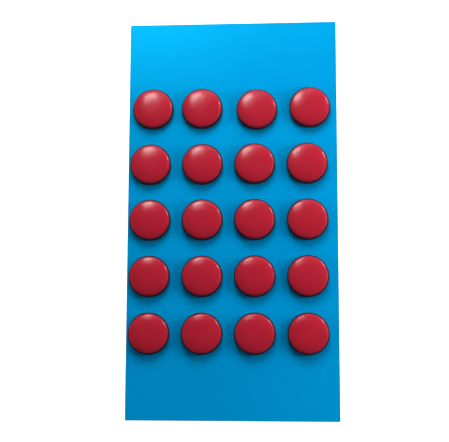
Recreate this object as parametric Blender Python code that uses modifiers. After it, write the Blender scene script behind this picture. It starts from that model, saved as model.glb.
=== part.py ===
"""A sheet of twenty self-adhesive vibration dampeners for rackets.

Metres, +Z up. The carrier sheet lies flat with its long side along Y, and the origin is in the
middle of its underside. Row 1 is at the +Y end, and column 1 is at the -X side. Each dampener is
a domed cap over a dark elastomer core. A thin adhesive disc holds the core to the sheet: its
thickness is left free here, so each dampener stands just clear of the sheet.
"""
import math

import bmesh
import bpy

# Carrier sheet
SHEET_WIDTH = 0.1007
SHEET_LENGTH = 0.1918
SHEET_THICKNESS = 0.0003

# Grid of dampeners
ROWS = 5
COLUMNS = 4
COLUMN_PITCH = 0.0251
ROW_PITCH = 0.0270
LEFT_MARGIN = 0.0110      # sheet's left edge to the first column's centres
TOP_MARGIN = 0.0433       # sheet's top edge to the first row's centres

# The first row was laid by hand, a little off the grid: (x, y) for each column
FIRST_ROW_SHIFTS = (
    (0.0010, 0.0003),
    (-0.0003, 0.0003),
    (0.0011, -0.0004),
    (0.0014, 0.0003),
)

# Stack of one dampener, upwards from the sheet
ADHESIVE_THICKNESS = 0.0003
FLANGE_THICKNESS = 0.0017
FIT_GAP = 0.0003          # between cap and core, all round
CAP_SIDE = 0.0004         # the cap's upright side, below its rounded edge
EDGE_RADIUS = 0.0010      # the cap's rounded edge
CROWN_RISE = 0.0010       # from the start of the rounded edge to the top

# Radii
CORE_RADIUS = 0.00995
CAP_RADIUS = 0.00925
BOSS_RADIUS = 0.0070
BOSS_HEIGHT = 0.0009
CORE_CHAMFER = 0.0003

# The crown falls as (r / crown radius) to this power: flatter than a sphere in the middle
CROWN_POWER = 3.0

TURNED_STEPS = 24
CROWN_SPANS = 4
EDGE_SPANS = 3
MERGE_DISTANCE = 0.00001
SHARP_ANGLE = math.radians(40)

CAP_COLOUR = (0.44, 0.015, 0.028, 1)
CORE_COLOUR = (0.012, 0.012, 0.016, 1)
SHEET_COLOUR = (0.0, 0.26, 0.58, 1)


def clear_scene():
    for obj in list(bpy.data.objects):
        bpy.data.objects.remove(obj, do_unlink=True)


def new_collection(name):
    collection = bpy.data.collections.new(name)
    bpy.context.scene.collection.children.link(collection)
    return collection


def make_material(name, colour, roughness):
    material = bpy.data.materials.new(name)
    material.use_nodes = True
    shader = material.node_tree.nodes["Principled BSDF"]
    shader.inputs["Base Color"].default_value = colour
    shader.inputs["Roughness"].default_value = roughness
    shader.inputs["Metallic"].default_value = 0.0
    return material


def turned_mesh(name, profile, material):
    """Turn (radius, height) points, listed from the top down the outside, about Z."""
    outline = bpy.data.meshes.new(name + "_outline")
    points = [(radius, 0, height) for radius, height in profile]
    edges = [(i, i + 1) for i in range(len(points) - 1)]
    outline.from_pydata(points, edges, [])
    blank = bpy.data.objects.new(name + "_outline", outline)
    bpy.context.scene.collection.objects.link(blank)

    screw = blank.modifiers.new("Turn", "SCREW")
    screw.axis = "Z"
    screw.steps = TURNED_STEPS
    screw.render_steps = TURNED_STEPS
    screw.use_merge_vertices = True
    screw.merge_threshold = MERGE_DISTANCE

    mesh = bpy.data.meshes.new_from_object(blank.evaluated_get(bpy.context.evaluated_depsgraph_get()))
    mesh.name = name
    mesh.shade_smooth()
    mesh.set_sharp_from_angle(angle=SHARP_ANGLE)
    mesh.materials.append(material)
    bpy.data.objects.remove(blank, do_unlink=True)
    bpy.data.meshes.remove(outline)
    return mesh


def crown_edge_slope(reach):
    """Slope angle of a crown of this radius, where the rounded edge takes over."""
    return math.atan(CROWN_RISE * CROWN_POWER / reach)


def crown_radius():
    """Radius at which the rounded edge meets the crown with one tangent."""
    reach = CAP_RADIUS - EDGE_RADIUS
    for _ in range(8):
        reach = CAP_RADIUS - EDGE_RADIUS * (1 - math.sin(crown_edge_slope(reach)))
    return reach


def cap_profile():
    """The cap's outline, with its foot at height 0: crown, rounded edge, side, then recess."""
    reach = crown_radius()
    slope = crown_edge_slope(reach)
    edge_centre = (CAP_RADIUS - EDGE_RADIUS, CAP_SIDE)
    crown_foot = CAP_SIDE + EDGE_RADIUS * math.cos(slope)
    profile = []
    for i in range(CROWN_SPANS + 1):
        share = i / CROWN_SPANS
        fall = CROWN_RISE * share ** CROWN_POWER
        profile.append((reach * share, crown_foot + CROWN_RISE - fall))
    for i in range(1, EDGE_SPANS + 1):
        angle = slope + (math.pi / 2 - slope) * i / EDGE_SPANS
        profile.append((edge_centre[0] + EDGE_RADIUS * math.sin(angle),
                        edge_centre[1] + EDGE_RADIUS * math.cos(angle)))
    recess_radius = BOSS_RADIUS + FIT_GAP
    profile.append((CAP_RADIUS, 0))
    profile.append((recess_radius, 0))
    profile.append((recess_radius, BOSS_HEIGHT))
    profile.append((0, BOSS_HEIGHT))
    return profile


def core_profile():
    """The core's outline, with its foot at height 0: boss, flange, chamfered rim, flat underside."""
    return [
        (0, FLANGE_THICKNESS + BOSS_HEIGHT),
        (BOSS_RADIUS, FLANGE_THICKNESS + BOSS_HEIGHT),
        (BOSS_RADIUS, FLANGE_THICKNESS),
        (CORE_RADIUS - CORE_CHAMFER, FLANGE_THICKNESS),
        (CORE_RADIUS, FLANGE_THICKNESS - CORE_CHAMFER),
        (CORE_RADIUS, 0),
        (0, 0),
    ]


def carrier_sheet(material, collection):
    mesh = bpy.data.meshes.new("carrier_sheet")
    sheet = bmesh.new()
    bmesh.ops.create_cube(sheet, size=1)
    bmesh.ops.scale(sheet, vec=(SHEET_WIDTH, SHEET_LENGTH, SHEET_THICKNESS), verts=sheet.verts)
    bmesh.ops.translate(sheet, vec=(0, 0, SHEET_THICKNESS / 2), verts=sheet.verts)
    sheet.to_mesh(mesh)
    sheet.free()
    mesh.materials.append(material)
    collection.objects.link(bpy.data.objects.new("carrier_sheet", mesh))


def dampener_place(row, column):
    """Centre of a dampener on the sheet's top face, rows and columns counted from 0."""
    x = -SHEET_WIDTH / 2 + LEFT_MARGIN + column * COLUMN_PITCH
    y = SHEET_LENGTH / 2 - TOP_MARGIN - row * ROW_PITCH
    if row == 0:
        shift_x, shift_y = FIRST_ROW_SHIFTS[column]
        x += shift_x
        y += shift_y
    return (x, y, SHEET_THICKNESS)


def dampener(row, column, cap_mesh, core_mesh, collection):
    """One dampener: an empty on its lift-off axis, with the core and the cap under it."""
    label = f"r{row + 1}_c{column + 1}"
    axis = bpy.data.objects.new("dampener_" + label, None)
    axis.location = dampener_place(row, column)
    core = bpy.data.objects.new("core_" + label, core_mesh)
    core.location.z = ADHESIVE_THICKNESS
    cap = bpy.data.objects.new("cap_" + label, cap_mesh)
    cap.location.z = ADHESIVE_THICKNESS + FLANGE_THICKNESS + FIT_GAP
    collection.objects.link(axis)
    for piece in (core, cap):
        piece.parent = axis
        collection.objects.link(piece)


def main():
    clear_scene()
    collection = new_collection("vibration_dampener_sheet")
    cap_mesh = turned_mesh("cap", cap_profile(), make_material("cap", CAP_COLOUR, 0.3))
    core_mesh = turned_mesh("core", core_profile(), make_material("core", CORE_COLOUR, 0.6))
    carrier_sheet(make_material("carrier", SHEET_COLOUR, 0.35), collection)
    for row in range(ROWS):
        for column in range(COLUMNS):
            dampener(row, column, cap_mesh, core_mesh, collection)


main()
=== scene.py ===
"""Looks of a sheet of twenty self-adhesive racket vibration dampeners, built round its CAD frame.

Metres, +Z up, the sheet lying flat with row 1 at its +Y end. Each dampener gets three fine
pieces: a domed cap, a damping core and the adhesive disc under it. The carrier is a film.
"""
import math

import bmesh
import bpy
from mathutils import Matrix, Vector

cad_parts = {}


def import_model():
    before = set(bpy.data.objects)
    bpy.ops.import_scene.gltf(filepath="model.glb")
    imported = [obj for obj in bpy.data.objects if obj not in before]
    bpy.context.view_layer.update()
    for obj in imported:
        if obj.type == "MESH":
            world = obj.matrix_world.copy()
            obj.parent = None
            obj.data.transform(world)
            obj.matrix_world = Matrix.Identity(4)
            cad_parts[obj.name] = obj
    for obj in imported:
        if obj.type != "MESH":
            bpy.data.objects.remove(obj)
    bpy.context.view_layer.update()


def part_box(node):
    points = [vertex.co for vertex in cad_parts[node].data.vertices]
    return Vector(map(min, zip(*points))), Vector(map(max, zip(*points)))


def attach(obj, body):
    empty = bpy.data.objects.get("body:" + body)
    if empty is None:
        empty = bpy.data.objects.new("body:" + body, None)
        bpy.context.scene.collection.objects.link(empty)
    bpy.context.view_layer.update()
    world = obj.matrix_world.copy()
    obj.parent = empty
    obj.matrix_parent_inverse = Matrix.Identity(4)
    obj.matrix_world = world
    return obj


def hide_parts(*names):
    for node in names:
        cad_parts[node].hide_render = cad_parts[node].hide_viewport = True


ROWS = 5
COLUMNS = 4
TURNED_STEPS = 128

# The cap's outline
CROWN_POWER = 3.0         # the crown falls as radius to this power
CROWN_RISE = 0.0010
EDGE_RADIUS = 0.0010
FOOT_ROUND = 0.0001
RECESS_SHARE = 0.78       # the recess underneath, as a share of the cap's radius
WALL = 0.0010             # cap thickness over the rim of its recess
CROWN_SPANS = 18
EDGE_SPANS = 12
FOOT_SPANS = 3

# The core's outline
SEAT_STEP = 0.0003        # the seat under the cap stands this far above the flange
SEAT_INSET = 0.0002       # and ends this far inside the cap's side
CORE_ROUND = 0.0003
BOSS_GAP = 0.0002         # between the boss and the side of the cap's recess
ROUND_SPANS = 5

# The adhesive disc
ADHESIVE_INSET = 0.0003   # from the core's rim
TOUCH = 0.00001           # hairline left between pieces that lie on each other

# The film
FILM_CORNER = 0.0002
FILM_EDGE_ROUND = 0.00006
CORNER_SPANS = 4
RIM_SPANS = 2

# Meshes in general
SLOPE_ROUNDS = 8          # passes that settle where the crown meets the rounded edge
MERGE_DISTANCE = 1e-7
SHARP_ANGLE = math.radians(35)

# Colours: each of the object's materials wanders between two shades
CAP_SHADES = ((0.353, 0.0115, 0.0265), (0.377, 0.0135, 0.0295))
CORE_SHADES = ((0.014, 0.014, 0.019), (0.026, 0.026, 0.034))
ADHESIVE_SHADES = ((0.035, 0.035, 0.04), (0.07, 0.07, 0.075))
FILM_SHADES = ((0.0, 0.250, 0.555), (0.0, 0.264, 0.580))
FILM_SHEEN_TINT = (0.0, 0.75, 1.0, 1)
PIECE_SHIFT = (1.0, 0.7, 0.4)    # how far a piece's random number moves its pattern, in metres

# Camera
CAMERA_PLACE = (0.0288, -0.0654, 0.4731)
CAMERA_TARGET = (-0.0037, -0.0018, 0.0)
CAMERA_ROLL = math.radians(0.16)
CAMERA_LENS = 80.2
SENSOR_WIDTH = 36

# Floor and surroundings
FLOOR_COLOUR = (0.9, 0.9, 0.9, 1)
FLOOR_SIZE = 6.0
FLOOR_DROP = 0.0002       # the floor lies this far under the film
FLOOR_GLOW = 1.0          # white paper that stays white far from the lights
WORLD_GLOW = 0.01         # what the surroundings add; the camera sees them white

# Soft lights that brighten and shade but stay out of reflections: place, size, watts
FILL_LIGHTS = {
    "top_end": ((0, 1.2, 0.8), (0.9, 0.7), 15.0),
    "top_right": ((1.0, 1.0, 0.5), (0.9, 0.7), 9.0),
    "foot_right": ((1.0, -1.0, 0.5), (0.9, 0.7), 2.0),
    "left": ((-1.4, 0, 0.5), (0.9, 0.7), 10.0),
    "near_right": ((0.3, 0, 0.15), (0.1, 0.15), 0.8),
    "near_top": ((0, 0.2, 0.15), (0.1, 0.1), 0.23),
}

# Lights that only show as highlights: place, size, watts
GLINT_LIGHTS = {
    "window_left": ((-0.16, 0.27, 0.52), (0.08, 0.08), 0.08),
    "window_foot": ((-0.08, 0.26, 0.52), (0.07, 0.06), 0.04),
    "window_low": ((-0.11, 0.27, 0.30), (0.12, 0.12), 0.5),
    "right_window": ((0.35, 0.25, 0.20), (0.10, 0.15), 0.8),
}


# ---------------------------------------------------------------- node helpers

class Nodes:
    """A new material's node tree, with short ways to add and link nodes."""

    def __init__(self, name):
        self.material = bpy.data.materials.new(name)
        self.material.use_nodes = True
        self.tree = self.material.node_tree
        self.shader = self.tree.nodes["Principled BSDF"]

    def add(self, kind, **settings):
        node = self.tree.nodes.new("ShaderNode" + kind)
        for key, value in settings.items():
            setattr(node, key, value)
        return node

    def link(self, output, target):
        self.tree.links.new(output, target)

    def object_point(self):
        """The point on the piece, shifted by a different amount for each piece."""
        place = self.add("TexCoord")
        identity = self.add("ObjectInfo")
        shift = self.add("VectorMath", operation="SCALE")
        shift.inputs[0].default_value = PIECE_SHIFT
        self.link(identity.outputs["Random"], shift.inputs["Scale"])
        moved = self.add("VectorMath", operation="ADD")
        self.link(place.outputs["Object"], moved.inputs[0])
        self.link(shift.outputs[0], moved.inputs[1])
        return moved.outputs[0]

    def noise(self, point, scale, detail=2):
        """Soft noise; scale is in spots per metre, roughly."""
        node = self.add("TexNoise")
        node.inputs["Scale"].default_value = scale
        node.inputs["Detail"].default_value = detail
        self.link(point, node.inputs["Vector"])
        return node.outputs["Fac"]

    def mapped(self, value, low, high, start=0.3, end=0.7):
        """value from start..end turned into low..high."""
        node = self.add("MapRange")
        node.inputs["From Min"].default_value = start
        node.inputs["From Max"].default_value = end
        node.inputs["To Min"].default_value = low
        node.inputs["To Max"].default_value = high
        self.link(value, node.inputs["Value"])
        return node.outputs["Result"]

    def mixed(self, share, shades):
        """A colour between two shades."""
        first, second = shades
        node = self.add("Mix", data_type="RGBA")
        node.inputs["A"].default_value = (*first, 1)
        node.inputs["B"].default_value = (*second, 1)
        self.link(share, node.inputs["Factor"])
        return node.outputs["Result"]

    def bump(self, height, distance, under=None):
        """Surface relief of this depth in metres, on top of the relief given as under."""
        node = self.add("Bump")
        node.inputs["Distance"].default_value = distance
        self.link(height, node.inputs["Height"])
        if under is not None:
            self.link(under, node.inputs["Normal"])
        return node.outputs["Normal"]

    def colour(self, share, shades):
        """Base colour between two shades."""
        self.link(self.mixed(share, shades), self.shader.inputs["Base Color"])

    def clouded_colour(self, point, scale, detail, shades):
        """Base colour that wanders between two shades."""
        self.colour(self.mapped(self.noise(point, scale, detail), 0, 1), shades)

    def clouded_roughness(self, point, scale, low, high, detail=2):
        """Roughness that wanders between low and high."""
        self.link(self.mapped(self.noise(point, scale, detail), low, high),
                  self.shader.inputs["Roughness"])

    def relief(self, normal):
        """Give the surface this relief."""
        self.link(normal, self.shader.inputs["Normal"])

    def set(self, **values):
        """Constant values on the shader's own sockets; an underscore stands for a space."""
        for key, value in values.items():
            self.shader.inputs[key.replace("_", " ")].default_value = value


# ---------------------------------------------------------------- materials

def cap_material():
    """Satin-gloss moulded crimson, faintly uneven in colour, gloss and surface."""
    nodes = Nodes("cap_crimson")
    point = nodes.object_point()
    nodes.clouded_colour(point, scale=160, detail=3, shades=CAP_SHADES)
    nodes.clouded_roughness(point, scale=420, low=0.19, high=0.24, detail=4)
    ripple = nodes.bump(nodes.noise(point, scale=700, detail=1), distance=0.000006)
    grain = nodes.bump(nodes.noise(point, scale=6000), distance=0.0000012, under=ripple)
    nodes.relief(grain)
    nodes.set(Specular_IOR_Level=0.5)
    return nodes.material


def core_material():
    """Matt black elastomer with a fine moulded grain."""
    nodes = Nodes("core_elastomer")
    point = nodes.object_point()
    nodes.clouded_colour(point, scale=900, detail=3, shades=CORE_SHADES)
    nodes.clouded_roughness(point, scale=1500, low=0.5, high=0.65)
    nodes.relief(nodes.bump(nodes.noise(point, scale=5000, detail=3), distance=0.00001))
    nodes.set(Specular_IOR_Level=0.2)
    return nodes.material


def adhesive_material():
    """Dark grey acrylic foam tape: fine closed cells on its cut edge and faces."""
    nodes = Nodes("adhesive_foam")
    point = nodes.object_point()
    cells = nodes.add("TexVoronoi")
    cells.inputs["Scale"].default_value = 6000
    nodes.link(point, cells.inputs["Vector"])
    nodes.colour(cells.outputs["Distance"], ADHESIVE_SHADES)
    nodes.clouded_roughness(point, scale=1200, low=0.45, high=0.6)
    nodes.relief(nodes.bump(cells.outputs["Distance"], distance=0.00002))
    return nodes.material


def film_material():
    """Cyan-blue plastic film: slightly cloudy colour, soft gloss, a barely rippled surface."""
    nodes = Nodes("carrier_film")
    point = nodes.object_point()
    nodes.clouded_colour(point, scale=22, detail=3, shades=FILM_SHADES)
    nodes.clouded_roughness(point, scale=60, low=0.28, high=0.36, detail=4)
    wave = nodes.bump(nodes.noise(point, scale=18, detail=1), distance=0.0004)
    grain = nodes.bump(nodes.noise(point, scale=2500), distance=0.000002, under=wave)
    nodes.relief(grain)
    nodes.set(IOR=1.6, Specular_IOR_Level=0.71, Specular_Tint=FILM_SHEEN_TINT)
    return nodes.material


def floor_material():
    """Matt white paper that glows."""
    nodes = Nodes("floor_pale")
    nodes.set(Base_Color=FLOOR_COLOUR, Roughness=0.9, Specular_IOR_Level=0.1,
              Emission_Color=(1, 1, 1, 1), Emission_Strength=FLOOR_GLOW)
    return nodes.material


# ---------------------------------------------------------------- shapes

def arc(centre, radius, start, end, spans):
    """Points of a circle arc in the (radius, height) plane, angles from the +height axis."""
    points = []
    for i in range(spans + 1):
        angle = start + (end - start) * i / spans
        points.append((centre[0] + radius * math.sin(angle), centre[1] + radius * math.cos(angle)))
    return points


def turned_piece(name, profile, place, material):
    """Turn (radius, height) points, from the top down the outside, about Z through place."""
    mesh = bpy.data.meshes.new(name)
    shape = bmesh.new()
    outline = [shape.verts.new((radius, 0, height)) for radius, height in profile]
    spans = [shape.edges.new(pair) for pair in zip(outline, outline[1:])]
    bmesh.ops.spin(shape, geom=outline + spans, axis=(0, 0, 1), cent=(0, 0, 0),
                   steps=TURNED_STEPS, angle=2 * math.pi, use_merge=True)
    bmesh.ops.remove_doubles(shape, verts=shape.verts, dist=MERGE_DISTANCE)
    bmesh.ops.recalc_face_normals(shape, faces=shape.faces)
    shape.to_mesh(mesh)
    shape.free()
    mesh.shade_smooth()
    mesh.set_sharp_from_angle(angle=SHARP_ANGLE)
    mesh.materials.append(material)
    piece = bpy.data.objects.new(name, mesh)
    piece.location = place
    bpy.context.scene.collection.objects.link(piece)
    return piece


def round_node(node):
    """Foot centre, radius and height of a turned CAD node."""
    low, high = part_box(node)
    centre = (low + high) / 2
    return Vector((centre.x, centre.y, low.z)), (high.x - low.x) / 2, high.z - low.z


def cap_profile(radius, height):
    """Crown, rounded edge, side with a small rounded foot, underside and recess."""
    side = height - CROWN_RISE
    reach = radius - EDGE_RADIUS
    for _ in range(SLOPE_ROUNDS):
        slope = math.atan(CROWN_RISE * CROWN_POWER / reach)
        reach = radius - EDGE_RADIUS * (1 - math.sin(slope))
    edge_centre = (radius - EDGE_RADIUS, side - EDGE_RADIUS * math.cos(slope))
    crown = []
    for i in range(CROWN_SPANS):
        share = i / CROWN_SPANS
        crown.append((reach * share, height - CROWN_RISE * share ** CROWN_POWER))
    edge = arc(edge_centre, EDGE_RADIUS, slope, math.pi / 2, EDGE_SPANS)
    foot = arc((radius - FOOT_ROUND, FOOT_ROUND), FOOT_ROUND, math.pi / 2, math.pi, FOOT_SPANS)
    recess_radius = RECESS_SHARE * radius
    recess_height = height - CROWN_RISE * (recess_radius / reach) ** CROWN_POWER - WALL
    recess = [(recess_radius, 0), (recess_radius, recess_height), (0, recess_height)]
    return crown + edge + foot + recess


def core_profile(radius, seat, top, boss, boss_top):
    """Boss in the cap's recess, seat under the cap, step down to the flange, rounded rim."""
    flange = top - SEAT_STEP
    upper = arc((radius - CORE_ROUND, flange - CORE_ROUND), CORE_ROUND, 0, math.pi / 2, ROUND_SPANS)
    lower = arc((radius - CORE_ROUND, CORE_ROUND), CORE_ROUND, math.pi / 2, math.pi, ROUND_SPANS)
    boss_outline = [(0, boss_top), (boss, boss_top), (boss, top)]
    return boss_outline + [(seat, top), (seat, flange)] + upper + lower + [(0, 0)]


def adhesive_profile(core_radius, thickness):
    """A plain disc, a little narrower than the core."""
    radius = core_radius - ADHESIVE_INSET
    return [(0, thickness), (radius, thickness), (radius, 0), (0, 0)]


def film_piece(material):
    """The carrier: a thin slab with slightly rounded corners and softened cut edges."""
    low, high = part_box("carrier_sheet")
    mesh = bpy.data.meshes.new("carrier_film")
    shape = bmesh.new()
    bmesh.ops.create_cube(shape, size=1)
    bmesh.ops.scale(shape, vec=high - low, verts=shape.verts)
    bmesh.ops.translate(shape, vec=(high + low) / 2, verts=shape.verts)
    corners = [edge for edge in shape.edges
               if abs(edge.verts[0].co.z - edge.verts[1].co.z) > (high.z - low.z) / 2]
    bmesh.ops.bevel(shape, geom=corners, offset=FILM_CORNER, segments=CORNER_SPANS, affect="EDGES")
    rims = [edge for edge in shape.edges
            if abs(edge.verts[0].co.z - edge.verts[1].co.z) < TOUCH]
    bmesh.ops.bevel(shape, geom=rims, offset=FILM_EDGE_ROUND, segments=RIM_SPANS, affect="EDGES")
    shape.to_mesh(mesh)
    shape.free()
    mesh.shade_smooth()
    mesh.set_sharp_from_angle(angle=SHARP_ANGLE)
    mesh.materials.append(material)
    film = bpy.data.objects.new("carrier_film", mesh)
    bpy.context.scene.collection.objects.link(film)
    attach(film, "carrier")
    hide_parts("carrier_sheet")


def dampener_pieces(label, materials):
    """The cap, core and adhesive disc of one dampener, riding on its body."""
    body = "dampener_" + label
    cap_place, cap_radius, cap_height = round_node("cap_" + label)
    core_place, core_radius, core_height = round_node("core_" + label)
    film_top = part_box("carrier_sheet")[1].z
    seat_height = cap_place.z - core_place.z - TOUCH
    boss_radius = RECESS_SHARE * cap_radius - BOSS_GAP

    cap = turned_piece("domed_cap_" + label, cap_profile(cap_radius, cap_height), cap_place,
                       materials["cap"])
    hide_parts("cap_" + label)

    core = turned_piece("damping_core_" + label,
                        core_profile(core_radius, cap_radius - SEAT_INSET, seat_height,
                                     boss_radius, core_height),
                        core_place, materials["core"])
    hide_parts("core_" + label)

    thickness = core_place.z - film_top - 2 * TOUCH
    disc = turned_piece("adhesive_disc_" + label, adhesive_profile(core_radius, thickness),
                        Vector((core_place.x, core_place.y, film_top + TOUCH)), materials["adhesive"])

    for piece in (cap, core, disc):
        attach(piece, body)


# ---------------------------------------------------------------- stage

def floor_piece():
    """A white floor that the object's gloss doesn't pick up."""
    bpy.ops.mesh.primitive_plane_add(size=FLOOR_SIZE, location=(0, 0, -FLOOR_DROP))
    floor = bpy.context.object
    floor.name = "floor"
    floor.data.materials.append(floor_material())
    floor.visible_glossy = False


def panel_light(name, place, size, watts):
    """A soft rectangular light facing the sheet's middle, never seen directly."""
    data = bpy.data.lights.new(name, "AREA")
    data.shape = "RECTANGLE"
    data.size, data.size_y = size
    data.energy = watts
    light = bpy.data.objects.new(name, data)
    light.location = place
    light.rotation_euler = (-Vector(place)).to_track_quat("-Z", "Y").to_euler()
    light.visible_camera = False
    bpy.context.scene.collection.objects.link(light)
    return light


def lights():
    """Fill lights stay out of reflections, and glint lights show only there."""
    for name, settings in FILL_LIGHTS.items():
        panel_light(name, *settings).visible_glossy = False
    for name, settings in GLINT_LIGHTS.items():
        panel_light(name, *settings).visible_diffuse = False


def world():
    """Surroundings that the camera sees as white and that add hardly any light."""
    room = bpy.data.worlds.new("room")
    room.use_nodes = True
    background = room.node_tree.nodes["Background"]
    background.inputs["Color"].default_value = (1, 1, 1, 1)
    seen = room.node_tree.nodes.new("ShaderNodeLightPath").outputs["Is Camera Ray"]
    strength = room.node_tree.nodes.new("ShaderNodeMapRange")
    strength.inputs["To Min"].default_value = WORLD_GLOW
    room.node_tree.links.new(seen, strength.inputs["Value"])
    room.node_tree.links.new(strength.outputs["Result"], background.inputs["Strength"])
    bpy.context.scene.world = room
    bpy.context.scene.view_settings.view_transform = "Standard"


def camera():
    """The eye, with the sheet's long side running up the picture, turned by a slight roll."""
    data = bpy.data.cameras.new("camera")
    data.lens = CAMERA_LENS
    data.sensor_width = SENSOR_WIDTH
    eye = bpy.data.objects.new("camera", data)
    back = (Vector(CAMERA_PLACE) - Vector(CAMERA_TARGET)).normalized()
    right = Vector((0, 1, 0)).cross(back).normalized()
    up = back.cross(right)
    turned = Matrix((right, up, back)).transposed().to_4x4()
    eye.matrix_world = (Matrix.Translation(CAMERA_PLACE) @ turned
                        @ Matrix.Rotation(CAMERA_ROLL, 4, "Z"))
    bpy.context.scene.collection.objects.link(eye)
    bpy.context.scene.camera = eye


# ---------------------------------------------------------------- the scene

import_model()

camera()
materials = {"cap": cap_material(), "core": core_material(), "adhesive": adhesive_material()}
film_piece(film_material())
for row in range(1, ROWS + 1):
    for column in range(1, COLUMNS + 1):
        dampener_pieces(f"r{row}_c{column}", materials)
floor_piece()
lights()
world()
